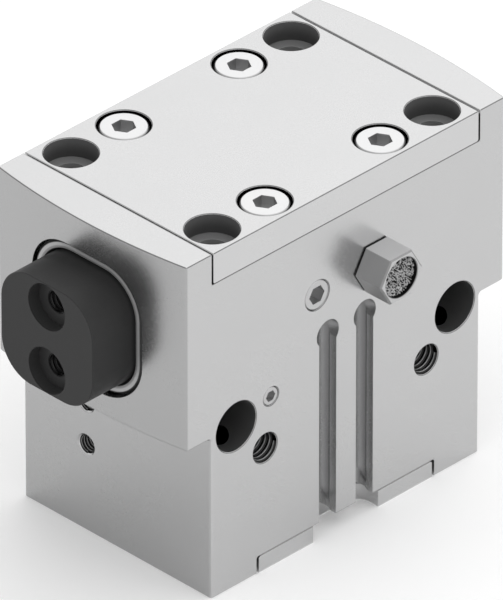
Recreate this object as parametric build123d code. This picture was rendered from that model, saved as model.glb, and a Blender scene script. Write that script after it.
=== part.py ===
from build123d import *

import os

# Pneumatic parallel gripper, millimetres. X is the travel of the jaws, -Y the front
# with the sensor slots, +Z up. The origin is the middle of the bottom face. The jaws
# are modelled fully open, with the piston at the bottom of its stroke.

# Motion
jaw_stroke = 5.0
piston_stroke = 6.0

# Hole patterns that set the length and depth of the body
mounting_pitch = 41.5
row_pitch = 26.6
cover_screw_pitch = 21.75
counterbore_diameter = 7.5
counterbore_depth = 3.0
front_wall = 0.75
lower_end_wall = 1.0
cover_end_wall = 0.5
overhang = 4.5
end_bulge = 1.5
step_height = 25.4
corner_radius = 0.45
step_fillet = 0.5
edge_break = 0.1
mouth_chamfer = 0.1

# Screws: nominal sizes, head sizes and how plain their tapped holes are drawn
m3_radius = 1.5
m4_radius = 2.0
m4_clearance_radius = 2.15
m4_head_radius = 3.4
m4_head_height = 2.8
screw_edge = 0.2
m3_key = 2.0
m4_key = 3.0
m4_key_depth = 1.7
m3_pitch_radius = 1.4
m4_pitch_radius = 1.77
m5_pitch_radius = 2.24
thread_gap = 0.03

# Stack of parts from the bottom face up to the cover
channel_depth = 2.7
spigot_height = 2.0
bumper_thickness = 0.7
bumper_gap = 0.1
piston_height = 8.0
seal_pocket_height = 3.0
rod_bush_length = 4.2
plate_floor_gap = 0.8
plate_foot = 2.8
plate_web = 2.1
plate_head_room = 0.4
cover_thickness = 4.8

# Cylinder
bore_radius = 10.0
rod_seat_depth = 0.8
seal_pocket_radius = 5.5
rod_bush_wall = 1.5
bumper_outer_radius = 7.4
running_gap = 0.04
press_gap = 0.02
piston_groove_depth = 2.4
seal_groove_width = 2.4
magnet_groove_width = 2.0
groove_land = 1.2
piston_screw_engagement = 5.2

# Bottom channel and cap
channel_half_width = 16.95
channel_corner = 0.4
cap_side_gap = 0.45
cap_edge_break = 0.15
cable_exit_width = 12.4
cable_exit_depth = 4.0
cable_exit_corner = 2.5
cap_screw_inset = 4.6
cap_screw_side_inset = 3.7
cap_screw_head_radius = 2.8
cap_screw_length = 8.0
cap_ring_width = 1.0
cap_ring_depth = 1.2
base_centring_radius = 3.5
base_centring_depth = 1.6

# Jaws and the slotted plate that drives them
jaw_flats = 17.3
jaw_corner_radius = 5.6
jaw_projection = 7.0
finger_pitch = 10.0
finger_centring_radius = 3.45
finger_centring_depth = 2.0
finger_thread_depth = 9.0
pin_radius = 2.0
pin_closed_x = 5.0
pin_end_recess = 0.15
slot_gap = 0.05
plate_thickness = 6.0
plate_side_gap = 0.1
plate_end_web = 2.25
fork_tip_wall = 1.5
fork_root_gap = 0.5
chamber_side_gap = 0.3

# Guide bushes and wipers in the two end faces
bush_wall = 0.72
guide_gap = 0.03
bush_start_gap = 0.2
wiper_pocket_flats = 20.8
wiper_pocket_radius = 7.2
wiper_pocket_depth = 3.0
wiper_gap = 0.3
wiper_seal_thickness = 1.6
wiper_frame_thickness = 2.2
wiper_frame_edge = 0.25
wiper_frame_clearance = 0.12

# Cover plate
cover_side_gap = 0.35
recess_corner = 0.3
joint_chamfer = 0.12

# Features of the front face
sensor_slot_pitch = 7.0
sensor_slot_width = 3.25
sensor_round_radius = 2.1
sensor_round_depth = 2.5
sensor_entry_z = 32.2
side_hole_z = 25.3
side_counterbore_depth = 9.0
side_bolt_radius = 2.25
side_thread_pitch = 30.6
side_thread_z = 19.4
side_thread_depth = 8.0
vent_pitch = 11.0
vent_thread_depth = 6.5
vent_channel_radius = 1.0
plug_length = 5.0
plug_recess = 0.1
plug_key = 2.5
channel_plug_x = -14.2
channel_plug_z = 27.1
channel_plug_length = 3.0
channel_plug_depth = 5.0
channel_plug_key = 1.5

# Vent filter
filter_flats = 6.95
filter_projection = 4.95
filter_neck_height = 0.15
filter_opening_radius = 3.0
filter_opening_depth = 2.9
filter_core_recess = 0.55
filter_bore_radius = 1.3
filter_thread_length = 5.6
filter_chamfer = 0.25

# Air supply ports in the left end face
port_y = 5.9
port_low_z = 13.7
port_pitch = 6.8
port_thread_depth = 5.0
port_chamfer = 0.25
port_channel_radius = 0.7
port_end_gap = 0.1

# Heights worked out from the stack
spigot_top = channel_depth + spigot_height
piston_bottom = spigot_top + bumper_thickness + bumper_gap
piston_top = piston_bottom + piston_height
bore_top = piston_top + piston_stroke + bumper_gap + bumper_thickness
seal_pocket_top = bore_top + seal_pocket_height
chamber_floor = seal_pocket_top + rod_bush_length
plate_bottom = chamber_floor + plate_floor_gap
rod_radius = plate_thickness / 2
rod_bush_radius = rod_radius + rod_bush_wall
slot_radius = pin_radius + slot_gap
jaw_z = plate_bottom + plate_foot + slot_radius + piston_stroke
plate_top = jaw_z + slot_radius + plate_web
cover_bottom = plate_top + piston_stroke + plate_head_room
body_height = cover_bottom + cover_thickness

# Plan sizes worked out from the hole patterns
body_depth = row_pitch + counterbore_diameter + 2 * front_wall
front_y = -body_depth / 2
lower_length = mounting_pitch + counterbore_diameter + 2 * lower_end_wall
upper_length = lower_length + 2 * overhang
cover_length = mounting_pitch + counterbore_diameter + 2 * cover_end_wall
lower_end_x = lower_length / 2
upper_end_x = upper_length / 2
cap_width = 2 * (channel_half_width - cap_side_gap)
screw_seat = body_height - counterbore_depth

# Places along the travel, for the right jaw when open
jaw_face_x = upper_end_x + end_bulge + jaw_projection
pin_open_x = pin_closed_x + jaw_stroke
plate_length = 2 * (pin_open_x + slot_radius + plate_end_web)
fork_root_closed_x = plate_length / 2 + fork_root_gap
fork_root_x = fork_root_closed_x + jaw_stroke
fork_tip_x = pin_open_x - pin_radius - fork_tip_wall
bush_start_x = fork_root_closed_x + bush_start_gap
wiper_floor_x = upper_end_x - wiper_pocket_depth

# Reach of a cutting tool beyond the face that it breaks through
through = 1.0


# Cylindrical tool or pin from a point along a direction
def rod(point, direction, radius, length):
    return extrude(Plane(origin=point, z_dir=direction) * Circle(radius), length)


# Cutter for a hole with a small chamfer at its mouth
def hole(point, direction, radius, depth, chamfer_size=mouth_chamfer):
    plane = Plane(origin=point, z_dir=direction)
    mouth = plane * Pos(0, 0, chamfer_size / 2)
    cone = mouth * Cone(radius + chamfer_size, radius, chamfer_size)
    back = plane * Pos(0, 0, -through / 2) * Cylinder(radius + chamfer_size, through)
    return rod(point, direction, radius, depth) + cone + back


# Ring around the vertical axis, with its edges broken
def ring(outer, inner, bottom, height, edge=0.0):
    blank = Cylinder(outer, height) - Cylinder(inner, height)
    if edge:
        blank = chamfer(blank.edges().filter_by(GeomType.CIRCLE), edge)
    return Pos(0, 0, bottom + height / 2) * blank


# Hexagonal recess of a key of the given size
def key_socket(point, direction, key, depth):
    plane = Plane(origin=point, z_dir=direction, x_dir=(1, 0, 0))
    return extrude(plane * RegularPolygon(key / 2, 6, major_radius=False), depth)


# Bar of a square section with round corners, along the travel on the jaw axis
def round_square_bar(flats, radius, start_x, end_x):
    plane = Plane(origin=(start_x, 0, jaw_z), x_dir=(0, 1, 0), z_dir=(1, 0, 0))
    return extrude(plane * RectangleRounded(flats, flats, radius), end_x - start_x)


# The section of the jaw, grown by a gap or a wall all round
def guide_bar(growth, start_x, end_x):
    return round_square_bar(jaw_flats + 2 * growth, jaw_corner_radius + growth, start_x, end_x)


# The section of the wiper pocket, shrunk by a gap all round
def pocket_bar(gap, start_x, end_x):
    return round_square_bar(wiper_pocket_flats - 2 * gap, wiper_pocket_radius - gap, start_x, end_x)


# A channel profile cut along Y, wide at its floor, with rounded inner corners
def channel_along_y(half_width, floor_z, open_z, corner):
    height = abs(open_z - floor_z) + through + corner
    middle_z = floor_z + (height / 2 if open_z > floor_z else -height / 2)
    profile = fillet(Rectangle(2 * half_width, height).vertices(), corner)
    tool = extrude(Plane.XZ * profile, body_depth / 2 + through, both=True)
    return Pos(0, 0, middle_z) * tool


# Four copies about the middle of the body
def four_corners(pitch_x, pitch_y, piece):
    return [spot * piece for spot in GridLocations(pitch_x, pitch_y, 2, 2)]


# Plan of the upper block, with bowed end faces
def upper_plan():
    half_depth = body_depth / 2
    with BuildSketch() as plan:
        with BuildLine():
            Line((-upper_end_x, -half_depth), (upper_end_x, -half_depth))
            ThreePointArc((upper_end_x, -half_depth), (upper_end_x + end_bulge, 0),
                          (upper_end_x, half_depth))
            Line((upper_end_x, half_depth), (-upper_end_x, half_depth))
            ThreePointArc((-upper_end_x, half_depth), (-upper_end_x - end_bulge, 0),
                          (-upper_end_x, -half_depth))
        make_face()
    return plan.sketch


# Stepped front profile given the plan of the upper block, with its edges broken
def body_blank():
    upper_height = body_height - step_height
    profile = Pos(0, step_height / 2) * Rectangle(lower_length, step_height)
    profile += Pos(0, step_height + upper_height / 2) * Rectangle(
        upper_length + 2 * (end_bulge + through), upper_height)
    step_corners = profile.vertices().filter_by_position(Axis.X, -lower_end_x, lower_end_x)
    profile = fillet(step_corners.filter_by_position(Axis.Y, step_height, step_height),
                     step_fillet)
    plan = fillet(upper_plan().vertices(), corner_radius)
    blank = extrude(Plane.XZ * profile, body_depth / 2, both=True) & extrude(plan, body_height)
    lower_edges = blank.edges().filter_by(Axis.Z).group_by(Axis.Z)[0]
    blank = fillet(lower_edges, corner_radius)
    for end in (-1, 0):
        blank = chamfer(blank.faces().sort_by(Axis.Z)[end].edges(), edge_break)
    return blank


# Round-bottomed sensor slot, entered through a round hole at its upper end
def sensor_slot(x):
    inner_y = front_y + sensor_round_depth
    entry_depth = sensor_round_depth + sensor_round_radius
    narrow = Box(sensor_slot_width, sensor_round_depth + through, sensor_entry_z + through,
                 align=(Align.CENTER, Align.MIN, Align.MIN))
    narrow = Pos(x, front_y - through, -through) * narrow
    channel = rod((x, inner_y, -through), (0, 0, 1), sensor_round_radius, sensor_entry_z + through)
    entry = rod((x, front_y - through, sensor_entry_z), (0, 1, 0), sensor_round_radius,
                entry_depth + through)
    return narrow + channel + entry


# Air channels from the two ports to the two ends of the cylinder
def air_channels():
    wall_x = -(bore_radius ** 2 - port_y ** 2) ** 0.5
    start_x = -lower_end_x + port_thread_depth - port_channel_radius
    end_height = port_channel_radius + port_end_gap
    tools = []
    for port_z, target_z in ((port_low_z, spigot_top + end_height),
                             (port_low_z + port_pitch, bore_top - end_height)):
        tools.append(hole((-lower_end_x, port_y, port_z), (1, 0, 0), m3_pitch_radius,
                          port_thread_depth, port_chamfer))
        start = Vector(start_x, port_y, port_z)
        end = Vector(wall_x + port_channel_radius, port_y, target_z)
        tools.append(rod(start, end - start, port_channel_radius, (end - start).length))
    return tools


def housing():
    body = body_blank()
    body -= channel_along_y(cover_length / 2 + cover_side_gap, cover_bottom, body_height,
                            recess_corner)
    body -= channel_along_y(channel_half_width, channel_depth, 0, channel_corner)

    # Cylinder, seal pocket, rod bush seat and the chamber of the slotted plate
    body -= rod((0, 0, 0), (0, 0, 1), bore_radius, bore_top)
    body -= rod((0, 0, bore_top - through), (0, 0, 1), seal_pocket_radius,
                seal_pocket_height + through)
    body -= rod((0, 0, seal_pocket_top - through), (0, 0, 1), rod_bush_radius,
                rod_bush_length + 2 * through)
    chamber = Box(2 * fork_root_closed_x, plate_thickness + 2 * chamber_side_gap,
                  cover_bottom - chamber_floor + through, align=(Align.CENTER, Align.CENTER, Align.MIN))
    body -= Pos(0, 0, chamber_floor) * chamber

    # Jaw bore and the wiper pockets in both end faces
    outer_x = upper_end_x + end_bulge + through
    body -= guide_bar(guide_gap + bush_wall, -outer_x, outer_x)
    for start_x, end_x in ((-outer_x, -wiper_floor_x), (wiper_floor_x, outer_x)):
        body -= pocket_bar(0, start_x, end_x)

    # Vertical mounting holes, centred at the bottom, and tapped holes for the cover screws
    body -= four_corners(mounting_pitch, row_pitch,
                         rod((0, 0, -through), (0, 0, 1), m4_clearance_radius, body_height))
    body -= four_corners(mounting_pitch, row_pitch,
                         hole((0, 0, 0), (0, 0, 1), base_centring_radius, base_centring_depth))
    tapped_depth = cover_screw_length() - (screw_seat - cover_bottom) + 2 * thread_gap
    body -= four_corners(cover_screw_pitch, row_pitch,
                         rod((0, 0, cover_bottom), (0, 0, -1), m4_radius + thread_gap, tapped_depth))
    body -= four_corners(*cap_screw_pitches(),
                         rod((0, 0, channel_depth), (0, 0, 1), m3_radius + thread_gap,
                             cap_screw_length - channel_depth + 2 * thread_gap))

    # Front face
    for side in (-1, 1):
        body -= sensor_slot(side * sensor_slot_pitch / 2)
        bolt_x = side * mounting_pitch / 2
        body -= hole((bolt_x, front_y, side_hole_z), (0, 1, 0), counterbore_diameter / 2,
                     side_counterbore_depth)
        body -= rod((bolt_x, front_y, side_hole_z), (0, 1, 0), side_bolt_radius,
                    body_depth + through)
        body -= hole((side * side_thread_pitch / 2, front_y, side_thread_z), (0, 1, 0),
                     m5_pitch_radius, side_thread_depth)
        vent_start = (side * vent_pitch / 2, front_y, jaw_z)
        body -= hole(vent_start, (0, 1, 0), m5_pitch_radius, vent_thread_depth)
        body -= rod(vent_start, (0, 1, 0), vent_channel_radius, body_depth / 2)
    body -= hole((channel_plug_x, front_y, channel_plug_z), (0, 1, 0), m3_pitch_radius,
                 channel_plug_depth)
    body -= air_channels()
    return body


# Cover screws reach down beside the chamber by two and a half diameters
def cover_screw_length():
    return screw_seat - cover_bottom + 5 * m4_radius


def cap_screw_pitches():
    return cap_width - 2 * cap_screw_side_inset, body_depth - 2 * cap_screw_inset


# Low-headed socket screw, standing on its head seat, with the shank pointing down
def socket_screw(shank_radius, shank_length):
    head = extrude(Circle(m4_head_radius), m4_head_height)
    head = chamfer(head.edges().sort_by(Axis.Z)[-1], screw_edge)
    shank = rod((0, 0, 0), (0, 0, -1), shank_radius, shank_length)
    shank = chamfer(shank.edges().sort_by(Axis.Z)[0], 2 * screw_edge)
    return head + shank - key_socket((0, 0, m4_head_height), (0, 0, -1), m4_key, m4_key_depth)


def cover_plate():
    plate = Box(cover_length, body_depth, cover_thickness, align=(Align.CENTER, Align.CENTER, Align.MIN))
    plate = Pos(0, 0, cover_bottom) * plate
    plate = chamfer(plate.edges().group_by(Axis.Z)[-1], edge_break)
    plate = chamfer(plate.edges().group_by(Axis.Z)[0].filter_by(Axis.Y), recess_corner)
    plate = chamfer(plate.edges().group_by(Axis.Z)[0].filter_by(Axis.X), joint_chamfer)
    for pitch in (mounting_pitch, cover_screw_pitch):
        plate -= four_corners(pitch, row_pitch,
                              hole((0, 0, body_height), (0, 0, -1), counterbore_diameter / 2,
                                   counterbore_depth, edge_break))
        plate -= four_corners(pitch, row_pitch,
                              rod((0, 0, body_height), (0, 0, -1), m4_clearance_radius,
                                  cover_thickness + through))
    return plate


def cover_screws():
    screw = Pos(0, 0, screw_seat) * socket_screw(m4_radius, cover_screw_length())
    return four_corners(cover_screw_pitch, row_pitch, screw)


# Cap with a spigot in the cylinder, a seal groove and an exit for the sensor cables
def bottom_cap():
    plate = Box(cap_width, body_depth, channel_depth, align=(Align.CENTER, Align.CENTER, Align.MIN))
    exit_blank = Box(cable_exit_width, cable_exit_depth + cable_exit_corner, channel_depth,
                     align=(Align.CENTER, Align.MAX, Align.MIN))
    exit_blank = fillet(exit_blank.edges().filter_by(Axis.Z), cable_exit_corner)
    plate = chamfer(plate.edges().group_by(Axis.Z)[-1].filter_by(Axis.Y), channel_corner)
    plate = chamfer(plate.edges().group_by(Axis.Z)[-1].filter_by(Axis.X), cap_edge_break)
    plate -= Pos(0, front_y + cable_exit_depth, 0) * exit_blank
    spigot = rod((0, 0, channel_depth), (0, 0, 1), bore_radius - running_gap, spigot_height)
    groove_middle = channel_depth + spigot_height / 2
    groove = ring(bore_radius, bore_radius - cap_ring_depth, groove_middle - cap_ring_width / 2,
                  cap_ring_width)
    cap = plate + spigot - groove
    countersink = Cone(cap_screw_head_radius, m3_radius + thread_gap,
                       cap_screw_head_radius - m3_radius - thread_gap,
                       align=(Align.CENTER, Align.CENTER, Align.MIN))
    cap -= four_corners(*cap_screw_pitches(), countersink)
    cap -= four_corners(*cap_screw_pitches(),
                        rod((0, 0, 0), (0, 0, 1), m3_radius + thread_gap, channel_depth))
    return cap


def bottom_cap_screws():
    head_height = cap_screw_head_radius - m3_radius - thread_gap
    head = Cone(cap_screw_head_radius - thread_gap, m3_radius, head_height,
                align=(Align.CENTER, Align.CENTER, Align.MIN))
    shank = rod((0, 0, 0), (0, 0, 1), m3_radius, cap_screw_length)
    screw = head + shank - key_socket((0, 0, 0), (0, 0, 1), m3_key, head_height)
    return four_corners(*cap_screw_pitches(), screw)


def bottom_cap_seal():
    groove_middle = channel_depth + spigot_height / 2
    height = cap_ring_width - 2 * press_gap
    return ring(bore_radius - press_gap, bore_radius - cap_ring_depth + press_gap,
                groove_middle - height / 2, height, edge_break)


# Piston with grooves for its magnet, below, and its seal, above
def piston():
    blank = rod((0, 0, piston_bottom), (0, 0, 1), bore_radius - running_gap, piston_height)
    blank = chamfer(blank.edges().filter_by(GeomType.CIRCLE), 2 * screw_edge)
    groove_radius = bore_radius - piston_groove_depth
    blank -= ring(bore_radius, groove_radius, magnet_groove_bottom(), magnet_groove_width)
    blank -= ring(bore_radius, groove_radius, seal_groove_bottom(), seal_groove_width)
    blank -= rod((0, 0, piston_top), (0, 0, -1), rod_radius + press_gap, rod_seat_depth)
    blank -= rod((0, 0, piston_bottom), (0, 0, 1), m4_clearance_radius, piston_height)
    blank -= rod((0, 0, piston_bottom), (0, 0, 1), counterbore_diameter / 2, counterbore_depth)
    return blank


def magnet_groove_bottom():
    return piston_bottom + groove_land


def seal_groove_bottom():
    return piston_top - groove_land - seal_groove_width


def groove_ring(bottom, width):
    return ring(bore_radius - running_gap, bore_radius - piston_groove_depth + press_gap,
                bottom + press_gap, width - 2 * press_gap, edge_break)


def piston_rod():
    bottom = piston_top - rod_seat_depth
    bar = ring(rod_radius, m4_clearance_radius, bottom, plate_bottom - bottom)
    return chamfer(bar.edges().group_by(Axis.Z)[-1].sort_by(SortBy.LENGTH)[-1], edge_break)


def piston_screw():
    seat = piston_bottom + counterbore_depth
    screw = Rot(180, 0, 0) * socket_screw(m4_radius, plate_bottom + piston_screw_engagement - seat)
    return Pos(0, 0, seat) * screw


# Plate with one slanting slot for each jaw: as it rises, both pins move inwards
def drive_plate():
    middle_z = (plate_bottom + plate_top) / 2
    profile = Pos(0, middle_z) * Rectangle(plate_length, plate_top - plate_bottom)
    profile = fillet(profile.vertices(), plate_web / 2)
    for side in (-1, 1):
        open_end = Vector(side * pin_open_x, jaw_z)
        closed_end = Vector(side * pin_closed_x, jaw_z - piston_stroke)
        profile -= SlotCenterPoint((open_end + closed_end) / 2, open_end, 2 * slot_radius)
    plate = extrude(Plane.XZ * profile, plate_thickness / 2, both=True)
    return plate - rod((0, 0, plate_bottom), (0, 0, 1), m4_radius + thread_gap,
                       piston_screw_engagement + 2 * thread_gap)


# Right jaw: guided bar with a fork at its inner end and two finger holes in its face
def jaw():
    bar = guide_bar(0, fork_tip_x, jaw_face_x)
    bar = chamfer(bar.edges().group_by(Axis.X)[-1], edge_break)
    fork_gap = plate_thickness + 2 * plate_side_gap
    gap = Box(2 * (fork_root_x - fork_tip_x), fork_gap, 2 * jaw_flats)
    bar -= Pos(fork_tip_x, 0, jaw_z) * gap
    bar -= rod((pin_open_x, -jaw_flats, jaw_z), (0, 1, 0), pin_radius + press_gap, 2 * jaw_flats)
    for side in (-1, 1):
        mouth = (jaw_face_x, 0, jaw_z + side * finger_pitch / 2)
        bar -= hole(mouth, (-1, 0, 0), finger_centring_radius, finger_centring_depth, edge_break / 2)
        bar -= rod(mouth, (-1, 0, 0), m4_pitch_radius, finger_thread_depth)
    return bar


def drive_pin():
    length = jaw_flats - 2 * pin_end_recess
    pin = rod((pin_open_x, -length / 2, jaw_z), (0, 1, 0), pin_radius, length)
    return chamfer(pin.edges().filter_by(GeomType.CIRCLE), edge_break)


def guide_bush():
    outer = guide_bar(guide_gap + bush_wall - press_gap, bush_start_x, wiper_floor_x - press_gap)
    return outer - guide_bar(guide_gap, bush_start_x - through, wiper_floor_x + through)


# Flat ring around the jaw, filling the wiper pocket but for the gap at its wall
def pocket_ring(start_x, thickness, jaw_gap):
    outer = pocket_bar(wiper_gap, start_x, start_x + thickness)
    return outer - guide_bar(jaw_gap, start_x - through, start_x + thickness + through)


def wiper_seal():
    return pocket_ring(wiper_floor_x, wiper_seal_thickness, guide_gap)


def wiper_frame():
    frame = pocket_ring(wiper_floor_x + wiper_seal_thickness, wiper_frame_thickness,
                        wiper_frame_clearance)
    return chamfer(frame.faces().sort_by(Axis.X)[-1].edges(), wiper_frame_edge)


def rod_seal():
    height = seal_pocket_height - 2 * press_gap
    return ring(seal_pocket_radius - press_gap, rod_radius + running_gap,
                bore_top + press_gap, height, edge_break)


def rod_bush():
    return ring(rod_bush_radius - press_gap, rod_radius + running_gap, seal_pocket_top,
                rod_bush_length, edge_break)


def bumper(bottom):
    return ring(bumper_outer_radius, rod_radius + guide_gap, bottom, bumper_thickness, edge_break / 2)


# Hexagonal body of the vent filter, with its thread and the seat of the porous insert
def vent_filter_body():
    x = vent_pitch / 2
    front = front_y - filter_projection
    plane = Plane(origin=(x, front, jaw_z), x_dir=(1, 0, 0), z_dir=(0, 1, 0))
    hexagon = RegularPolygon(filter_flats / 2, 6, major_radius=False)
    head = extrude(plane * hexagon, filter_projection - filter_neck_height)
    head = chamfer(head.faces().sort_by(Axis.Y)[0].edges(), filter_chamfer)
    length = filter_projection + filter_thread_length
    body = head + rod((x, front, jaw_z), (0, 1, 0), m5_pitch_radius - thread_gap, length)
    body -= hole((x, front, jaw_z), (0, 1, 0), filter_opening_radius, filter_opening_depth,
                 filter_chamfer / 2)
    return body - rod((x, front, jaw_z), (0, 1, 0), filter_bore_radius, length + through)


def vent_filter_core():
    front = front_y - filter_projection + filter_core_recess
    return rod((vent_pitch / 2, front, jaw_z), (0, 1, 0), filter_opening_radius - press_gap,
               filter_opening_depth - filter_core_recess)


# Headless socket plug, standing at a point of the front face and pointing inwards
def grub_screw(x, z, radius, length, key):
    front = front_y + plug_recess
    plug = rod((x, front, z), (0, 1, 0), radius - thread_gap, length)
    plug = chamfer(plug.edges().filter_by(GeomType.CIRCLE), edge_break)
    return plug - key_socket((x, front, z), (0, 1, 0), key, length / 2)


def mirrored(piece):
    return mirror(piece, about=Plane.YZ)


pieces = {
    "housing": housing(),
    "cover_plate": cover_plate(),
    "cover_screws": cover_screws(),
    "bottom_cap": bottom_cap(),
    "bottom_cap_screws": bottom_cap_screws(),
    "bottom_cap_seal": bottom_cap_seal(),
    "rod_seal": rod_seal(),
    "rod_bush": rod_bush(),
    "bumper_lower": bumper(spigot_top),
    "bumper_upper": bumper(bore_top - bumper_thickness),
    "vent_filter_body": vent_filter_body(),
    "vent_filter_core": vent_filter_core(),
    "port_plug": grub_screw(-vent_pitch / 2, jaw_z, m5_pitch_radius, plug_length, plug_key),
    "channel_plug": grub_screw(channel_plug_x, channel_plug_z, m3_pitch_radius,
                               channel_plug_length, channel_plug_key),
    "piston": piston(),
    "piston_magnet": groove_ring(magnet_groove_bottom(), magnet_groove_width),
    "piston_seal": groove_ring(seal_groove_bottom(), seal_groove_width),
    "piston_rod": piston_rod(),
    "piston_screw": piston_screw(),
    "drive_plate": drive_plate(),
}

# Pieces that come once for each jaw
for name, piece in (("jaw", jaw()), ("drive_pin", drive_pin()), ("guide_bush", guide_bush()),
                    ("wiper_seal", wiper_seal()), ("wiper_frame", wiper_frame())):
    pieces[name + "_right"] = piece
    pieces[name + "_left"] = mirrored(piece)

os.makedirs("parts", exist_ok=True)
for name, piece in pieces.items():
    solid = Compound(children=list(piece)) if isinstance(piece, list) else piece
    solid.label = name
    export_step(solid, f"parts/{name}.step")
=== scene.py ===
import math

import bmesh
import bpy
from mathutils import Matrix, Vector, noise


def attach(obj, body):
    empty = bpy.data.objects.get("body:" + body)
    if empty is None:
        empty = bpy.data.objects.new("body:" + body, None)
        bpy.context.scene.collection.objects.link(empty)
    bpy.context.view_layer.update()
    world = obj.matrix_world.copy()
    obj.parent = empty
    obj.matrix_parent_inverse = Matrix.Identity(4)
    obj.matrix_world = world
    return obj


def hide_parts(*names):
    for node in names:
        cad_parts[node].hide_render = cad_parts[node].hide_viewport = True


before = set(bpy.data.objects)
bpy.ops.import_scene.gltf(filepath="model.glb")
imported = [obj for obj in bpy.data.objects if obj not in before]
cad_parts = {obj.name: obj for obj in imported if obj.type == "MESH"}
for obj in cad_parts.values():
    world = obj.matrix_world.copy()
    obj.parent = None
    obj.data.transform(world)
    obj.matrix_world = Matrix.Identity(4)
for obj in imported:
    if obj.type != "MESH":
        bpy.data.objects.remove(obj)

print("frame loaded:", len(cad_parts), "nodes")
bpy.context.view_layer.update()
mm = 0.001

# Colour sockets of the mix node
mixSockets = {"first": 6, "second": 7, "result": 2}


# A value in a shader that can be written in sums, such as 1 - mask or grain * 0.2
class Wire:
    def __init__(self, tree, socket):
        self.tree = tree
        self.socket = socket

    # Any other node: its settings go in first, then the values or links of its sockets
    def node(self, kind, settings=None, inputs=None, output=0):
        made = self.tree.nodes.new(kind)
        for name, value in (settings or {}).items():
            setattr(made, name, value)
        for name, value in (inputs or {}).items():
            if isinstance(value, Wire):
                self.tree.links.new(value.socket, made.inputs[name])
            else:
                made.inputs[name].default_value = value
        return Wire(self.tree, made.outputs[output])

    def maths(self, operation, a, b=0.0):
        return self.node("ShaderNodeMath", {"operation": operation}, {0: a, 1: b})

    def __add__(self, other):
        return self.maths("ADD", self, other)

    def __radd__(self, other):
        return self.maths("ADD", other, self)

    def __sub__(self, other):
        return self.maths("SUBTRACT", self, other)

    def __rsub__(self, other):
        return self.maths("SUBTRACT", other, self)

    def __mul__(self, other):
        return self.maths("MULTIPLY", self, other)

    def __rmul__(self, other):
        return self.maths("MULTIPLY", other, self)

    def __abs__(self):
        return self.maths("ABSOLUTE", self)

    # The larger of two values, which joins two masks
    def __or__(self, other):
        return self.maths("MAXIMUM", self, other)

    def root(self):
        return self.maths("SQRT", self)

    # This value where a mask is 0, another where it is 1
    def shaded(self, mask, level):
        return self + (level - self) * mask

    # 0 below start, 1 above end, smooth between them
    def ramp(self, start, end):
        return self.node("ShaderNodeMapRange", {"interpolation_type": "SMOOTHSTEP"},
                         {"Value": self, "From Min": start, "From Max": end})

    # 1 from a limit up, 0 below it: the band says how far before the limit the change ends and starts
    def past(self, limit, band):
        return self.ramp(limit - band[1], limit - band[0])

    # 1 up to a limit, 0 above it: the band says how far after the limit the change starts and ends
    def within(self, limit, band):
        return 1 - self.ramp(limit + band[0], limit + band[1])

    # One number where this mask is 0, another where it is 1
    def between(self, low, high):
        return low + self * (high - low)

    # One colour turning into another where this value goes from 0 to 1
    def tint(self, colour, other):
        pair = {0: self}
        for slot, paint in ((mixSockets["first"], colour), (mixSockets["second"], other)):
            pair[slot] = paint if isinstance(paint, Wire) else (*paint, 1)
        return self.node("ShaderNodeMix", {"data_type": "RGBA"}, pair, mixSockets["result"])


def grey(level):
    return level, level, level


# A new material: its constants go on the shader's own sockets
def newFinish(name, **constants):
    material = bpy.data.materials.new(name)
    material.use_nodes = True
    tree = material.node_tree
    shader = tree.nodes["Principled BSDF"]
    for socket, value in constants.items():
        shader.inputs[socket.replace("_", " ")].default_value = value
    place = Wire(tree, tree.nodes.new("ShaderNodeTexCoord").outputs["Object"])
    return material, shader, place


def connect(shader, **wires):
    for socket, wire in wires.items():
        wire.tree.links.new(wire.socket, shader.inputs[socket.replace("_", " ")])


def split(place):
    return [place.node("ShaderNodeSeparateXYZ", None, {0: place}, axis) for axis in "XYZ"]


# Noise from 0 to 1, with features of one size
def grain(place, size, detail=2.0, uneven=0.5):
    return place.node("ShaderNodeTexNoise", None,
                      {"Vector": place, "Scale": 1 / size, "Detail": detail, "Roughness": uneven})


# The same noise on both sides of zero
def wave(place, size, detail=2.0, uneven=0.5):
    return grain(place, size, detail, uneven) - 0.5


# Noise drawn out along one axis, as lines left by a tool
def brushed(place, size, stretch):
    drawn = place.node("ShaderNodeMapping", None, {"Vector": place, "Scale": stretch})
    return wave(drawn, size, detail=3.0)


def relief(height, depth):
    return height.node("ShaderNodeBump", None, {"Height": height, "Distance": depth, "Strength": 1.0})


# Soft edges of painted spots: for a ring's edges, shares of its width, and for a line's, of its half width
softness = {"spot": 0.02 * mm, "rim": (0.5, 0.7), "line": 0.7}
rimWidth = 0.1 * mm


def reachFrom(across, along, centre):
    a = across - centre[0]
    b = along - centre[1]
    return (a * a + b * b).root()


# 1 inside a round hole seen along its axis, 0 outside it
def roundSpot(across, along, centre, radius):
    soft = softness["spot"]
    return 1 - reachFrom(across, along, centre).ramp(radius - soft, radius + soft)


# 1 in a thin ring around a hole's mouth, 0 inside and outside it
def rimSpot(across, along, centre, radius):
    inner, outer = softness["rim"]
    fromMiddle = abs(reachFrom(across, along, centre) - (radius + rimWidth / 2))
    return 1 - fromMiddle.ramp(rimWidth * inner, rimWidth * outer)


# 1 in a thin line at one level, 0 on both sides of it
def lineAt(value, level, half):
    return 1 - abs(value - level).ramp(half * softness["line"], half)


# Distance inside a rounded square from its outline, negative outside it
def squareDepth(across, along, centre, half, radius):
    a = (abs(across - centre[0]) - (half - radius)) | 0
    b = (abs(along - centre[1]) - (half - radius)) | 0
    return 0 - ((a * a + b * b).root() - radius)


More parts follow.
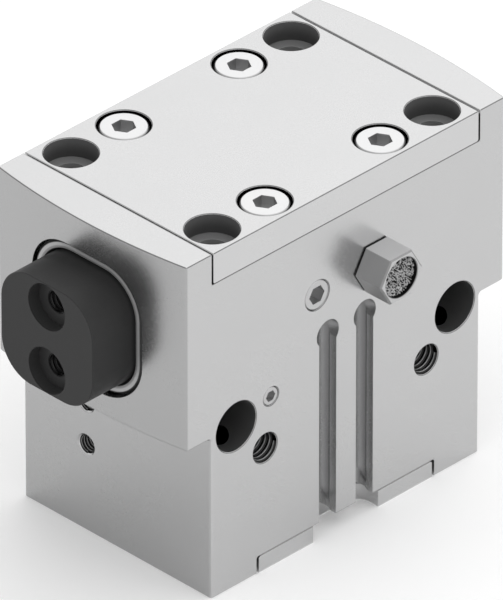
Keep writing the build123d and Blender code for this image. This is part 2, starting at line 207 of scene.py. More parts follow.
# Places where the finish of the body, the cover and the parts in them changes
spots = {
    "top": 54.5 * mm, "frontY": -17.8 * mm, "backY": 17.8 * mm, "step": 25.4 * mm,
    "recess": 25.35 * mm, "coverEnd": 25 * mm, "underJoint": 49.65 * mm, "overJoint": 49.76 * mm,
    "archCentre": (-74.86 * mm, 0), "archR": 106.36 * mm, "overCap": 2.75 * mm, "capHalf": 17.1 * mm,
    "mount": (20.75 * mm, 13.3 * mm), "mountR": 2.2 * mm, "seatR": 3.77 * mm, "seatFloor": 51.55 * mm,
    "screw": (10.875 * mm, 13.3 * mm), "bolt": (20.75 * mm, 25.3 * mm), "boltR": 3.78 * mm,
    "slot": 3.5 * mm, "slotHalf": 1.66 * mm, "jawZ": 39.15 * mm,
    "thread": (15.3 * mm, 19.4 * mm), "threadR": 2.27 * mm,
    "vent": (5.5 * mm, 39.15 * mm), "plug": (-14.2 * mm, 27.1 * mm), "plugR": 1.43 * mm,
    "portX": -25.5 * mm, "port": (5.9 * mm, 3.4 * mm), "portMiddle": 17.1 * mm, "portR": 1.43 * mm,
}

# Blasted and anodised aluminium, light grey and satin, with painted shade along its broken edges
blasted = {
    "tone": 0.525, "cloudSize": 9 * mm, "cloud": 0.02, "speckleSize": 0.18 * mm, "speckle": 0.032,
    "metal": 0.96, "rough": 0.26, "roughCloud": 0.05, "roughSpeckle": 0.1, "blue": 1.004,
    "grainSize": 0.09 * mm, "grainDepth": 0.005 * mm, "uneven": 0.6,
    # the edge tone is painted shade on broken edges and hole rims, the joint tone painted shadow along
    # joints and gaps
    "edge": 0.18, "joint": 0.4, "inside": 0.5,
    "edgeBand": (0.1 * mm, 0.13 * mm), "faceBand": (0.1 * mm, 0.14 * mm),
}


def blastedParts(place, tone):
    cloud = wave(place, blasted["cloudSize"], detail=3.0)
    speckle = wave(place, blasted["speckleSize"], detail=3.0, uneven=blasted["uneven"])
    fine = grain(place, blasted["grainSize"], detail=3.0, uneven=blasted["uneven"])
    tone = tone + cloud * blasted["cloud"] + speckle * blasted["speckle"]
    rough = blasted["rough"] + cloud * blasted["roughCloud"] + speckle * blasted["roughSpeckle"]
    return tone, rough, relief(fine, blasted["grainDepth"])


def toneColour(tone):
    return tone.node("ShaderNodeCombineColor", None, {0: tone, 1: tone, 2: tone * blasted["blue"]})


# The body, with painted shade on the walls of its deep holes
bodyLook = {
    "frontHalf": (-1 * mm, 0), "leftHalf": (-1 * mm, 0),
    "behindFront": (0.12 * mm, 0.16 * mm), "behindEnd": (0.26 * mm, 0.32 * mm),
    # the end tones are painted shade on the end faces
    "end": 0.39, "endBand": (0.1 * mm, 0.3 * mm), "lowEndShade": 0.43, "stepBand": (0, 0.2 * mm),
    # the over-top tone is painted light on the top faces, the bolt, thread and mount tones painted shade
    # inside the holes
    "paintedTopLight": 0.055, "topBand": (0.05 * mm, 0.1 * mm), "bolt": 0.22, "thread": 0.006, "mount": 0.003,
    "slotBand": (0, 0.04 * mm), "neckStart": (0.04 * mm, 0.1 * mm), "neckEnd": (1.1 * mm, 1.54 * mm),
    # the neck tone is painted shade, the slot-inside tone painted light that lifts the shade of the slots'
    # depth
    "lineSize": 0.35 * mm, "lineStretch": (1, 1, 0.001), "neckShade": 0.48, "neckLines": 0.1,
    "slotInsideLight": 0.74, "slotLines": 0.3, "jointHalf": 0.07 * mm, "capBand": (0, 0.05 * mm),
    "wallHalf": 0.03 * mm, "wallBand": (0.5 * mm, 0.6 * mm),
}


def bodyFinish(look):
    material, shader, place = newFinish("blastedAluminium")
    x, y, z = split(place)
    tone, rough, bump = blastedParts(place, blasted["tone"])
    side = abs(x)
    depth = y - spots["frontY"]
    frontHalf = 1 - y.ramp(*look["frontHalf"])
    leftHalf = 1 - x.ramp(*look["leftHalf"])
    behindFront = depth.ramp(*look["behindFront"]) * frontHalf
    behindEnd = (x - spots["portX"]).ramp(*look["behindEnd"]) * leftHalf

    # painted shade on the bowed and the lower end faces, and painted light on the top over them
    fromArch = reachFrom(side, y, spots["archCentre"]) - spots["archR"]
    lowEndShade = side.past(-spots["portX"], blasted["faceBand"]) * (1 - z.past(spots["step"], look["stepBand"]))
    tone = tone.shaded(fromArch.past(0, look["endBand"]), look["end"]).shaded(lowEndShade, look["lowEndShade"])
    tone = tone + z.past(spots["top"], look["topBand"]) * look["paintedTopLight"]

    # holes, their walls painted dark as shade
    tapped = (roundSpot(side, z, spots["thread"], spots["threadR"])
              | roundSpot(side, z, spots["vent"], spots["threadR"])
              | roundSpot(x, z, spots["plug"], spots["plugR"]))
    port = roundSpot(y, abs(z - spots["portMiddle"]), spots["port"], spots["portR"])
    bolt = roundSpot(side, z, spots["bolt"], spots["boltR"]) * behindFront
    tone = tone.shaded(bolt, look["bolt"])
    tone = tone.shaded(tapped * behindFront | port * behindEnd, look["thread"])
    tone = tone.shaded(roundSpot(side, abs(y), spots["mount"], spots["mountR"]), look["mount"])

    # sensor slots: painted shade at the neck, and further in painted light that lifts the shade of their
    # depth, with drawn lines on both
    inSlot = abs(side - spots["slot"]).within(spots["slotHalf"], look["slotBand"]) * frontHalf
    inner = inSlot * depth.ramp(*look["neckEnd"])
    neckShade = inSlot * depth.ramp(*look["neckStart"]) * (1 - depth.ramp(*look["neckEnd"]))
    drawn = brushed(place, look["lineSize"], look["lineStretch"])
    tone = tone.shaded(neckShade, look["neckShade"] + drawn * look["neckLines"])
    tone = tone.shaded(inner, look["slotInsideLight"] + drawn * look["slotLines"])

    # painted shade on broken edges, and painted shadow along the joints with the cover and the cap
    front = depth.within(0, blasted["faceBand"])
    outside = abs(y).past(spots["backY"], blasted["faceBand"])
    upper = z.past(spots["top"], blasted["edgeBand"])
    arch = fromArch.past(0, blasted["edgeBand"])
    recess = side.within(spots["recess"], blasted["edgeBand"])
    rims = (rimSpot(side, z, spots["bolt"], spots["boltR"])
            | rimSpot(side, z, spots["thread"], spots["threadR"])
            | rimSpot(side, z, spots["vent"], spots["threadR"])
            | rimSpot(x, z, spots["plug"], spots["plugR"]))
    underCover = lineAt(z, spots["underJoint"], look["jointHalf"]) * recess
    overCap = lineAt(z, spots["overCap"], look["jointHalf"]) * side.within(spots["capHalf"], look["capBand"])
    tone = tone.shaded(rims * front | (arch | outside) * upper, blasted["edge"])
    tone = tone.shaded((underCover | overCap) * outside | recess * upper, blasted["joint"])

    # the recess walls scatter light at the top instead of mirroring the gap
    wall = lineAt(side, spots["recess"], look["wallHalf"]) * z.past(spots["top"], look["wallBand"])
    connect(shader, Base_Color=toneColour(tone), Metallic=(1 - wall) * blasted["metal"],
            Roughness=rough.shaded(bolt | inner, blasted["inside"]), Normal=bump)
    return material


# The cover, with painted shade in its screw seats and painted light on their floors, painted black shade in
# the gaps around its screws, and bores painted darker with depth as shade
coverLook = {
    # the seat, seat-low, gap and bore tones are painted shade, the floor tone painted light on the seat
    # floors
    "tone": 0.58, "seat": 0.11, "seatDeepShade": 0.05, "seatFall": (0.3 * mm, 2.4 * mm),
    "floor": 0.15, "floorBand": (0, 0.02 * mm), "gap": 0.02,
    "bore": (0.32, 0.02), "boreFall": (0.5 * mm, 1.6 * mm), "jointHalf": 0.08 * mm,
}


def coverFinish(look):
    material, shader, place = newFinish("coverAluminium")
    x, y, z = split(place)
    tone, rough, bump = blastedParts(place, look["tone"])
    side, depth = abs(x), abs(y)
    fall = spots["top"] - z
    below = fall.ramp(*blasted["faceBand"])
    floor = z.within(spots["seatFloor"], look["floorBand"])
    seat = roundSpot(side, depth, spots["mount"], spots["seatR"]) * below
    gap = roundSpot(side, depth, spots["screw"], spots["seatR"]) * below
    bore = (spots["seatFloor"] - z).ramp(*look["boreFall"]).between(*look["bore"])
    seatLightAndShade = look["seat"] - fall.ramp(*look["seatFall"]) * look["seatDeepShade"] + floor * look["floor"]
    tone = tone.shaded(seat, seatLightAndShade).shaded(gap, look["gap"])
    tone = tone.shaded(roundSpot(side, depth, spots["mount"], spots["mountR"]), bore)

    # painted shade on broken edges, and painted shadow along the joint with the body
    upper = fall.within(0, blasted["edgeBand"])
    rims = (rimSpot(side, depth, spots["mount"], spots["seatR"])
            | rimSpot(side, depth, spots["screw"], spots["seatR"]))
    ends = side.past(spots["coverEnd"], blasted["edgeBand"])
    sides = depth.past(spots["backY"], blasted["edgeBand"])
    joint = lineAt(z, spots["overJoint"], look["jointHalf"]) * sides
    tone = tone.shaded((rims | sides) * upper, blasted["edge"])
    tone = tone.shaded(ends * upper | joint, blasted["joint"])
    connect(shader, Base_Color=toneColour(tone), Metallic=(1 - seat) * blasted["metal"],
            Roughness=rough.shaded(seat, blasted["inside"]), Normal=bump)
    return material


# The bottom cap, with painted shade along its top edge where it meets the body above it
capLook = {"tone": 0.54, "line": 0.2, "lineStart": (2.5 * mm, 2.54 * mm)}


def capFinish(look):
    material, shader, place = newFinish("capAluminium", Metallic=blasted["metal"])
    tone, rough, bump = blastedParts(place, look["tone"])
    line = split(place)[2].ramp(*look["lineStart"])
    connect(shader, Base_Color=toneColour(tone.shaded(line, look["line"])), Roughness=rough, Normal=bump)
    return material


# Steel with fine lines drawn along it and a faint cloud
drawnSteel = {"metal": 0.9, "lineSize": 0.12 * mm, "cloudSize": 3 * mm, "cloud": 0.06,
              "roughLines": 0.1, "roughCloud": 0.05, "lineDepth": 0.003 * mm}


def drawnParts(place, tone, look):
    lines = brushed(place, drawnSteel["lineSize"], look["stretch"])
    cloud = wave(place, drawnSteel["cloudSize"])
    tone = tone * (1 + lines * look["streak"] + cloud * drawnSteel["cloud"])
    rough = look["rough"] + lines * drawnSteel["roughLines"] + cloud * drawnSteel["roughCloud"]
    return tone, rough, relief(lines, drawnSteel["lineDepth"])


steelLooks = {
    "groundSteel": {"tone": 0.42, "rough": 0.32, "stretch": (1, 1, 14), "streak": 0.12, "metal": 0.9},
    "capScrewSteel": {"tone": 0.6, "rough": 0.36, "stretch": (1, 0.4, 1), "streak": 0.06, "metal": 0.8},
    "pinSteel": {"tone": 0.6, "rough": 0.25, "stretch": (1, 0.1, 1), "streak": 0.12, "metal": 0.9},
    "magnetGrey": {"tone": 0.2, "rough": 0.55, "stretch": (1, 1, 1), "streak": 0.12, "metal": 0.6},
}


def steelFinish(name):
    look = steelLooks[name]
    material, shader, place = newFinish(name, Metallic=look["metal"])
    tone, rough, bump = drawnParts(place, look["tone"], look)
    connect(shader, Base_Color=toneColour(tone), Roughness=rough, Normal=bump)
    return material


# Vent filter: plated, duller on its six sides, with painted shade on its lower sides and front chamfer,
# painted light on its upper sides, and painted black shade inside and at its foot
filterLook = {
    # the edge tone is painted shade on the front chamfer, the side and upper tones painted shade and light
    # on the six sides, the dark tone painted shade inside and at the foot
    "ring": 0.5, "edge": 0.26, "side": 0.36, "upper": 0.56, "dark": 0.015,
    "rough": 0.42, "stretch": (1, 0.3, 1), "streak": 0.06, "front": -22.75 * mm,
    "edgeStart": (0.01 * mm, 0.04 * mm), "sideStart": (0.24 * mm, 0.28 * mm),
    "upperStart": (3.38 * mm, 3.44 * mm), "openR": 3.02 * mm, "openStart": (0.1 * mm, 0.14 * mm),
    "footStart": (-18.08 * mm, -18 * mm),
}


def filterFinish(look):
    material, shader, place = newFinish("platedSteel", Metallic=drawnSteel["metal"])
    x, y, z = split(place)
    depth = y - look["front"]
    upper = (z - spots["vent"][1]).ramp(*look["upperStart"])
    side = upper.between(look["side"], look["upper"])
    ring = depth.ramp(*look["edgeStart"]).between(look["ring"], look["edge"])
    tone, rough, bump = drawnParts(place, ring.shaded(depth.ramp(*look["sideStart"]), side), look)
    inside = roundSpot(x, z, spots["vent"], look["openR"]) * depth.ramp(*look["openStart"])
    tone = tone.shaded(inside | y.ramp(*look["footStart"]), look["dark"])
    connect(shader, Base_Color=toneColour(tone), Roughness=rough, Normal=bump)
    return material


# Steel with a black oxide finish, with painted light that makes the finger seats a little lighter
jawLook = {
    "tone": 0.028, "bored": 0.043, "rough": 0.42, "specular": 0.2, "cloudSize": 5 * mm, "cloud": 0.2,
    "speckleSize": 0.14 * mm, "speckle": 0.3, "roughCloud": 0.1, "roughSpeckle": 0.15,
    "grainSize": 0.07 * mm, "grainDepth": 0.005 * mm, "face": 38.5 * mm,
    "seat": (0, 5 * mm), "seatR": 3.47 * mm, "seatStart": (0.12 * mm, 0.2 * mm),
}


def jawFinish(look):
    material, shader, place = newFinish("blackOxide", Metallic=0.0, Specular_IOR_Level=look["specular"])
    x, y, z = split(place)
    cloud = wave(place, look["cloudSize"], detail=3.0)
    speckle = wave(place, look["speckleSize"], detail=3.0)
    fine = grain(place, look["grainSize"], detail=3.0, uneven=0.6)
    bored = (roundSpot(y, abs(z - spots["jawZ"]), look["seat"], look["seatR"])
             * (look["face"] - abs(x)).ramp(*look["seatStart"]))
    uneven = 1 + cloud * look["cloud"] + speckle * look["speckle"]
    tone = bored.between(look["tone"], look["bored"]) * uneven
    rough = look["rough"] + cloud * look["roughCloud"] + speckle * look["roughSpeckle"]
    connect(shader, Base_Color=toneColour(tone), Roughness=rough, Normal=relief(fine, look["grainDepth"]))
    return material


# Bright socket screws: turned tops, key sockets painted a darker grey as shade, and painted shade on their
# rims
screwLook = {
    "tone": 0.69, "socket": 0.47, "rim": 0.3, "metal": 0.9, "rough": 0.34,
    "lathe": 0.11 * mm, "turned": 0.006, "roughTurned": 0.02, "latheDepth": 0.001 * mm,
    "speckleSize": 0.1 * mm, "speckle": 0.03, "roughSpeckle": 0.08, "sunk": (54.14 * mm, 54.2 * mm),
    "socketR": 1.76 * mm, "socketBand": (0, 0.01 * mm), "rimStart": (3.12 * mm, 3.36 * mm),
}


def screwFinish(look):
    material, shader, place = newFinish("brightScrew", Metallic=look["metal"])
    x, y, z = split(place)
    reach = reachFrom(abs(x), abs(y), spots["screw"])
    turned = reach.maths("SINE", reach * (2 * math.pi / look["lathe"]))
    speckle = wave(place, look["speckleSize"])
    socket = reach.within(look["socketR"], look["socketBand"]) * (1 - z.ramp(*look["sunk"]))
    tone = look["tone"] + turned * look["turned"] + speckle * look["speckle"]
    tone = tone.shaded(reach.ramp(*look["rimStart"]), look["rim"]) * (1 - socket) + socket * look["socket"]
    rough = look["rough"] + turned * look["roughTurned"] + speckle * look["roughSpeckle"]
    connect(shader, Base_Color=toneColour(tone), Roughness=rough, Normal=relief(turned, look["latheDepth"]))
    return material


# Grub screws in the front face, as light as the body, their key sockets painted lighter to offset the shade
# of their depth
plugLook = {
    "tone": 0.5, "socket": 0.6, "metal": 0.9, "rough": 0.34, "roughSpeckle": 0.1,
    "speckleSize": 0.12 * mm, "speckle": 0.04, "depth": 0.003 * mm,
    "front": -17.7 * mm, "sunk": (0.12 * mm, 0.2 * mm),
}


def plugFinish(look):
    material, shader, place = newFinish("plugSteel", Metallic=look["metal"])
    speckle = wave(place, look["speckleSize"], detail=3.0)
    sunk = (split(place)[1] - look["front"]).ramp(*look["sunk"])
    tone = sunk.between(look["tone"], look["socket"]) + speckle * look["speckle"]
    connect(shader, Base_Color=toneColour(tone), Roughness=look["rough"] + speckle * look["roughSpeckle"],
            Normal=relief(speckle, look["depth"]))
    return material


# Frame of the wiper: pressed steel, with a painted highlight along its middle and painted shade at both
# edges
wiperLook = {
    "middle": (0, 39.15 * mm), "half": 10.1 * mm, "radius": 6.9 * mm, "metal": 0.4,
    # the crown tone is a painted highlight, the rim and inner tones painted shade at the edges
    "rim": 0.03, "paintedHighlight": 0.5, "inner": 0.26, "crownStart": (0.3 * mm, 0.42 * mm),
    "innerStart": (0.72 * mm, 0.95 * mm), "rimStart": (1.16 * mm, 1.24 * mm),
    "lineSize": 0.12 * mm, "stretch": (0.3, 1, 1), "streak": 0.06, "rough": 0.45, "roughLines": 0.1,
    "lineDepth": 0.003 * mm,
}


def wiperFinish(look):
    material, shader, place = newFinish("wiperMetal", Metallic=look["metal"])
    y, z = split(place)[1:]
    lines = brushed(place, look["lineSize"], look["stretch"])
    inward = squareDepth(y, z, look["middle"], look["half"], look["radius"])
    tone = inward.ramp(*look["crownStart"]).between(look["rim"], look["paintedHighlight"])
    tone = tone.shaded(inward.ramp(*look["innerStart"]), look["inner"])
    tone = tone.shaded(inward.ramp(*look["rimStart"]), look["rim"])
    connect(shader, Base_Color=toneColour(tone * (1 + lines * look["streak"])),
            Roughness=look["rough"] + lines * look["roughLines"], Normal=relief(lines, look["lineDepth"]))
    return material


rubberLook = {"tone": 0.018, "speckleSize": 0.15 * mm, "speckle": 0.6, "rough": 0.62,
              "roughSpeckle": 0.2, "depth": 0.006 * mm}


def rubberFinish(look):
    material, shader, place = newFinish("blackRubber", Metallic=0.0)
    speckle = wave(place, look["speckleSize"], detail=4.0, uneven=0.6)
    connect(shader, Base_Color=toneColour(look["tone"] * (1 + speckle * look["speckle"])),
            Roughness=look["rough"] + speckle * look["roughSpeckle"], Normal=relief(speckle, look["depth"]))
    return material


# Sintered bronze, dark in its pores
bronzeLook = {
    "dark": (0.30, 0.20, 0.10), "light": (0.62, 0.45, 0.24), "metal": 0.9,
    "cloudSize": 1.5 * mm, "cloud": (0.3, 0.7),
    "poreSize": 0.12 * mm, "pores": (0.34, 0.42), "rough": 0.5, "smooth": 0.12, "depth": 0.01 * mm,
}


def bronzeFinish(look):
    material, shader, place = newFinish("bearingBronze", Metallic=look["metal"])
    cloud = grain(place, look["cloudSize"], detail=4.0).ramp(*look["cloud"])
    pores = grain(place, look["poreSize"]).ramp(*look["pores"])
    connect(shader, Base_Color=(cloud * pores).tint(look["dark"], look["light"]),
            Roughness=look["rough"] - pores * look["smooth"], Normal=relief(pores, look["depth"]))
    return material


# Sintered insert: light ridges, with painted shade that makes the pores between them black by depth below
# its top
insertLook = {
    "front": -22.2 * mm, "radius": 2.97 * mm, "back": 2.0 * mm, "rings": 56, "sectors": 240,
    "merge": 0.002 * mm, "ridge": 0.4 * mm, "pore": 0.5 * mm, "ridgeShare": 1.5, "ridgeSeed": 5,
    "pitShare": 0.8, "pitScale": 1.7, "pitSeed": (3, 8, 1),
    "bend": 1.2, "bendScale": 0.7, "bendSeed": (9, 4, 2),
    # the dark tone is painted shade in the pores, by depth
    "metal": 0.6, "high": (0.06 * mm, 0.3 * mm), "dark": 0.012, "light": 0.36,
    "fineSize": 0.06 * mm, "fine": 0.26, "rough": 0.5, "roughFine": 0.2, "depth": 0.01 * mm,
}


def sinteredFinish(look):
    material, shader, place = newFinish("sinteredMetal", Metallic=look["metal"])
    high = 1 - (split(place)[1] - look["front"]).ramp(*look["high"])
    fine = grain(place, look["fineSize"], detail=3.0)
    ridges = toneColour(look["light"] + fine * look["fine"])
    connect(shader, Base_Color=high.tint(grey(look["dark"]), ridges),
            Roughness=look["rough"] + fine * look["roughFine"], Normal=relief(fine, look["depth"]))
    return material


# Cut threads: painted black shade in the grooves, with light crests
threadLook = {"metal": 0.7, "cutSize": 0.1 * mm, "cut": 0.3, "rough": 0.34, "roughCut": 0.2,
              "depth": 0.004 * mm, "crestBand": (0.01 * mm, 0.06 * mm)}


# The measure says how the coordinates give the place around a thread's axis, and where that axis is
def threadFinish(name, size, measure):
    material, shader, place = newFinish(name, Metallic=threadLook["metal"])
    cut = wave(place, threadLook["cutSize"], detail=3.0)
    light = reachFrom(*measure(*split(place))).within(size["crest"], threadLook["crestBand"])
    tone = light.between(size["grooveShade"], size["crestTone"]) * (1 + cut * threadLook["cut"])
    rough = threadLook["rough"] + cut * threadLook["roughCut"]
    connect(shader, Base_Color=toneColour(tone), Roughness=rough, Normal=relief(cut, threadLook["depth"]))
    return material


def paint(piece, material):
    piece.data.materials.clear()
    piece.data.materials.append(material)
    for face in piece.data.polygons:
        face.material_index = 0


coverMetal = coverFinish(coverLook)
plugSteel = plugFinish(plugLook)
capScrewSteel = steelFinish("capScrewSteel")
groundSteel = steelFinish("groundSteel")
rubber = rubberFinish(rubberLook)
bronze = bronzeFinish(bronzeLook)
sintered = sinteredFinish(insertLook)
finishes = {
    "housing": bodyFinish(bodyLook), "cover_plate": coverMetal, "cover_screws": screwFinish(screwLook),
    "bottom_cap": capFinish(capLook), "bottom_cap_screws": capScrewSteel, "bottom_cap_seal": rubber,
    "rod_seal": rubber, "rod_bush": bronze, "bumper_lower": rubber, "bumper_upper": rubber,
    "vent_filter_body": filterFinish(filterLook), "vent_filter_core": sintered, "port_plug": plugSteel,
    "channel_plug": plugSteel, "piston": coverMetal, "piston_magnet": steelFinish("magnetGrey"),
    "piston_seal": rubber, "piston_rod": groundSteel, "piston_screw": capScrewSteel,
    "drive_plate": groundSteel,
}
sideFinishes = {"jaw_": jawFinish(jawLook), "drive_pin_": steelFinish("pinSteel"), "guide_bush_": bronze,
                "wiper_seal_": rubber, "wiper_frame_": wiperFinish(wiperLook)}
for side in ("left", "right"):
    finishes.update({stem + side: material for stem, material in sideFinishes.items()})
for nodeName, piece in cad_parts.items():
    paint(piece, finishes[nodeName])
print("finishes on the packed parts:", len(finishes))


# A finished mesh becomes an object with its place in its mesh
def makePiece(name, mesh, body, material, smooth=True):
    data = bpy.data.meshes.new(name)
    mesh.to_mesh(data)
    mesh.free()
    for face in data.polygons:
        face.use_smooth = smooth
    piece = bpy.data.objects.new(name, data)
    bpy.context.scene.collection.objects.link(piece)
    paint(piece, material)
    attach(piece, body)
    return piece


def turnTowards(direction):
    return Vector((0, 0, 1)).rotation_difference(Vector(direction)).to_matrix().to_4x4()


# Shape of a thread: the tooth in shares of its pitch, and the least height of its run out
threadShape = {"tooth": 0.44, "crest": 0.07, "runOut": 0.5, "least": 0.04, "lipSteps": 64}


# Internal thread: one tooth section wound down the wall of a hole
def windThread(name, mouth, direction, size, body, material):
    mesh = bmesh.new()
    half = size["pitch"] * threadShape["tooth"]
    crest = size["pitch"] * threadShape["crest"]
    section = [(size["wall"], 0), (size["crest"], half - crest), (size["crest"], half + crest),
               (size["wall"], 2 * half)]
    mesh.faces.new([mesh.verts.new((radius, 0, size["start"] + depth)) for radius, depth in section])
    bmesh.ops.spin(mesh, geom=mesh.verts[:] + mesh.edges[:] + mesh.faces[:], cent=(0, 0, 0),
                   axis=(0, 0, 1), dvec=(0, 0, size["pitch"] / size["steps"]),
                   angle=2 * math.pi * size["turns"], steps=size["turns"] * size["steps"],
                   use_merge=False)
    # the first half turn runs out into the wall
    for v in mesh.verts:
        reach = math.hypot(v.co.x, v.co.y)
        share = (v.co.z - size["start"]) / (size["pitch"] * threadShape["runOut"])
        wanted = size["wall"] - (size["wall"] - reach) * min(1, max(threadShape["least"], share))
        v.co.x *= wanted / reach
        v.co.y *= wanted / reach
    if "collar" in size:
        addCollar(mesh, size)
    bmesh.ops.recalc_face_normals(mesh, faces=mesh.faces[:])
    place = Matrix.Translation(mouth) @ turnTowards(direction)
    bmesh.ops.transform(mesh, matrix=place, verts=mesh.verts[:])
    makePiece(name, mesh, body, material, smooth=False)


# Narrow lip at the mouth of a thread, at the size of its crests
def addCollar(mesh, size):
    depth = size["start"] - size["collar"]
    corners = [(size["wall"], depth), (size["crest"], depth), (size["crest"], depth + size["collar"]),
               (size["wall"], depth + size["collar"])]
    section = mesh.faces.new([mesh.verts.new((radius, 0, level)) for radius, level in corners])
    bmesh.ops.spin(mesh, geom=list(section.verts) + list(section.edges), cent=(0, 0, 0),
                   axis=(0, 0, 1), dvec=(0, 0, 0), angle=2 * math.pi, steps=threadShape["lipSteps"],
                   use_merge=True)
    bmesh.ops.delete(mesh, geom=[section], context="FACES_ONLY")


# the groove tones are painted shade in the grooves
threadSizes = {
    "finger": {"pitch": 0.7 * mm, "wall": 1.79 * mm, "crest": 1.6 * mm, "turns": 9, "steps": 36,
               "start": 2.16 * mm, "collar": 0.15 * mm, "grooveShade": 0.008, "crestTone": 0.05},
    "front": {"pitch": 0.8 * mm, "wall": 2.26 * mm, "crest": 2.02 * mm, "turns": 8, "steps": 40,
              "start": 0.1 * mm, "grooveShade": 0.015, "crestTone": 0.42},
    "port": {"pitch": 0.5 * mm, "wall": 1.42 * mm, "crest": 1.24 * mm, "turns": 8, "steps": 32,
             "start": 0.1 * mm, "grooveShade": 0.012, "crestTone": 0.3},
}
fingerThread = threadFinish("fingerThread", threadSizes["finger"], lambda x, y, z: (
    y, abs(z - spots["jawZ"]), jawLook["seat"]))
frontThread = threadFinish("frontThread", threadSizes["front"], lambda x, y, z: (
    abs(x), z, spots["thread"]))
portThread = threadFinish("portThread", threadSizes["port"], lambda x, y, z: (
    y, abs(z - spots["portMiddle"]), spots["port"]))
seatY, seatUp = jawLook["seat"]
threadX, threadZ = spots["thread"]
portY, portUp = spots["port"]
for side, sign in (("left", -1), ("right", 1)):
    for level, up in (("lower", -seatUp), ("upper", seatUp)):
        mouth = (sign * jawLook["face"], seatY, spots["jawZ"] + up)
        windThread(f"finger_thread_{side}_{level}", mouth, (-sign, 0, 0), threadSizes["finger"],
                   side + "_jaw_body", fingerThread)
    mouth = (sign * threadX, spots["frontY"], threadZ)
    windThread("front_thread_" + side, mouth, (0, 1, 0), threadSizes["front"], "body", frontThread)
for level, up in (("lower", -portUp), ("upper", portUp)):
    mouth = (spots["portX"], portY, spots["portMiddle"] + up)
    windThread("port_thread_" + level, mouth, (1, 0, 0), threadSizes["port"], "body", portThread)
print("threads wound")


# Sintered insert of the vent filter: a disc whose face is pushed in between ridges
def pressInsert(look):
    mesh = bmesh.new()
    step = look["radius"] / look["rings"]
    line = [mesh.verts.new((step * n, 0, 0)) for n in range(look["rings"] + 1)]
    edges = [mesh.edges.new(pair) for pair in zip(line, line[1:])]
    bmesh.ops.spin(mesh, geom=line + edges, cent=(0, 0, 0), axis=(0, 0, 1), dvec=(0, 0, 0),
                   angle=2 * math.pi, steps=look["sectors"], use_merge=True)
    bmesh.ops.remove_doubles(mesh, verts=mesh.verts[:], dist=look["merge"])
    for v in mesh.verts:
        spot = Vector((v.co.x, v.co.y, 0)) / look["ridge"]
        bend = noise.noise(spot * look["bendScale"] + Vector(look["bendSeed"])) * look["bend"]
        ridges = abs(noise.noise(spot + Vector((bend, -bend, look["ridgeSeed"]))))
        pits = max(0, noise.noise(spot * look["pitScale"] + Vector(look["pitSeed"])))
        v.co.z = -look["pore"] * min(1, ridges * look["ridgeShare"] + pits * look["pitShare"])
    rim = [e for e in mesh.edges if e.is_boundary]
    wall = bmesh.ops.extrude_edge_only(mesh, edges=rim)["geom"]
    for v in wall:
        if isinstance(v, bmesh.types.BMVert):
            v.co.z = -look["back"]
    bmesh.ops.contextual_create(mesh, geom=[e for e in mesh.edges if e.is_boundary])
    bmesh.ops.recalc_face_normals(mesh, faces=mesh.faces[:])
    ventX, ventZ = spots["vent"]
    place = Matrix.Translation((ventX, look["front"], ventZ)) @ turnTowards((0, -1, 0))
    bmesh.ops.transform(mesh, matrix=place, verts=mesh.verts[:])
    piece = makePiece("vent_filter_insert", mesh, "body", sintered)
    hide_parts("vent_filter_core")


pressInsert(insertLook)
print("filter insert pressed")


# Camera at the photograph's viewing angle
cameraLook = {"azimuth": -45.01, "elevation": 32.798, "distance": 2.5, "lens": 1118.46, "sensor": 36,
              "near": 0.5, "far": 20, "target": (0, 0, 28 * mm), "right": -0.062 * mm, "up": -0.182 * mm}


def placeCamera(look):
    azimuth = math.radians(look["azimuth"])
    elevation = math.radians(look["elevation"])
    level = math.cos(elevation)
    back = Vector((math.sin(azimuth) * level, -math.cos(azimuth) * level, math.sin(elevation)))
    right = Vector((math.cos(azimuth), math.sin(azimuth), 0))
    shift = right * look["right"] + back.cross(right) * look["up"]
    data = bpy.data.cameras.new("photoCamera")
    data.lens = look["lens"]
    data.sensor_width = look["sensor"]
    data.clip_start = look["near"]
    data.clip_end = look["far"]
    camera = bpy.data.objects.new("photoCamera", data)
    camera.location = Vector(look["target"]) + back * look["distance"] + shift
    camera.rotation_mode = "QUATERNION"
    camera.rotation_quaternion = (-back).to_track_quat("-Z", "Y")
    bpy.context.scene.collection.objects.link(camera)
    bpy.context.scene.camera = camera


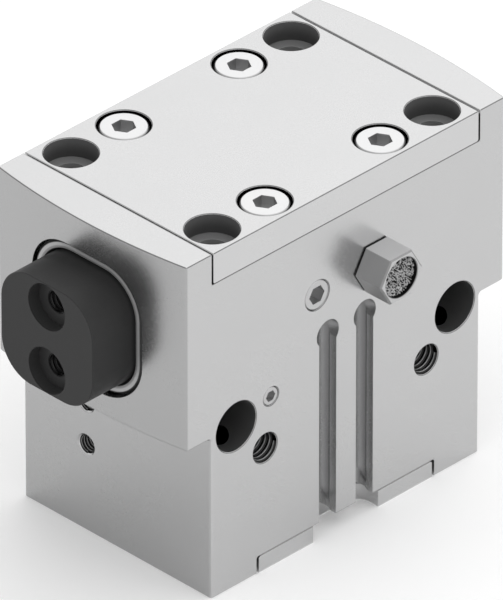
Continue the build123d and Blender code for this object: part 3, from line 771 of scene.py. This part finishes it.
# Plain pale floor and soft light
studio = {
    "ambient": 0.86, "floorTone": 0.7, "floorWhite": 1.0, "floorSize": 6.0, "floorRough": 0.9,
    "floorLevel": -0.02 * mm, "reach": (0.1 * mm, 0.2 * mm),
    "lamps": {
        "keyLamp": {"towards": (0.6, -0.5, 0.47), "strength": 1.15, "spread": 140},
        "backLamp": {"towards": (0.6, 0.6, 0.54), "strength": 0.1, "spread": 60},
    },
}


# 1 for rays that show a thing to the camera, 0 for those that only carry light
def seenDirectly(wire):
    camera, glossy, transmission = (wire.node("ShaderNodeLightPath", None, None, name) for name in (
        "Is Camera Ray", "Is Glossy Ray", "Is Transmission Ray"))
    return camera | glossy | transmission


def lightWorld(look):
    world = bpy.data.worlds.new("studio")
    bpy.context.scene.world = world
    world.use_nodes = True
    background = world.node_tree.nodes["Background"]
    shown = seenDirectly(Wire(world.node_tree, background.outputs[0]))
    strength = shown + (1 - shown) * look["ambient"]
    world.node_tree.links.new(strength.socket, background.inputs["Strength"])
    background.inputs["Color"].default_value = (1, 1, 1, 1)


def layFloor(look):
    mesh = bmesh.new()
    bmesh.ops.create_grid(mesh, x_segments=1, y_segments=1, size=look["floorSize"] / 2)
    data = bpy.data.meshes.new("paleFloor")
    mesh.to_mesh(data)
    mesh.free()
    floor = bpy.data.objects.new("paleFloor", data)
    bpy.context.scene.collection.objects.link(floor)
    floor.location.z = look["floorLevel"]
    material, shader, place = newFinish("palePaper", Roughness=look["floorRough"], Specular_IOR_Level=0.0)
    # seen from below, the floor lets the underside of the object show, with light on it
    below = place.node("ShaderNodeNewGeometry", None, None, "Backfacing")
    close = 1 - place.node("ShaderNodeLightPath", None, None, "Ray Length").ramp(*look["reach"])
    tones = grey(look["floorTone"]), grey(look["floorWhite"])
    connect(shader, Base_Color=seenDirectly(place).tint(*tones), Alpha=1 - (below | close))
    paint(floor, material)


def hangLamps(lamps):
    for name, lamp in lamps.items():
        light = bpy.data.lights.new(name, "SUN")
        light.energy = lamp["strength"]
        light.angle = math.radians(lamp["spread"])
        holder = bpy.data.objects.new(name, light)
        holder.rotation_mode = "QUATERNION"
        holder.rotation_quaternion = Vector(lamp["towards"]).to_track_quat("Z", "Y")
        bpy.context.scene.collection.objects.link(holder)


placeCamera(cameraLook)
lightWorld(studio)
layFloor(studio)
hangLamps(studio["lamps"])
bpy.context.scene.view_settings.view_transform = "Standard"
print("camera and light placed")
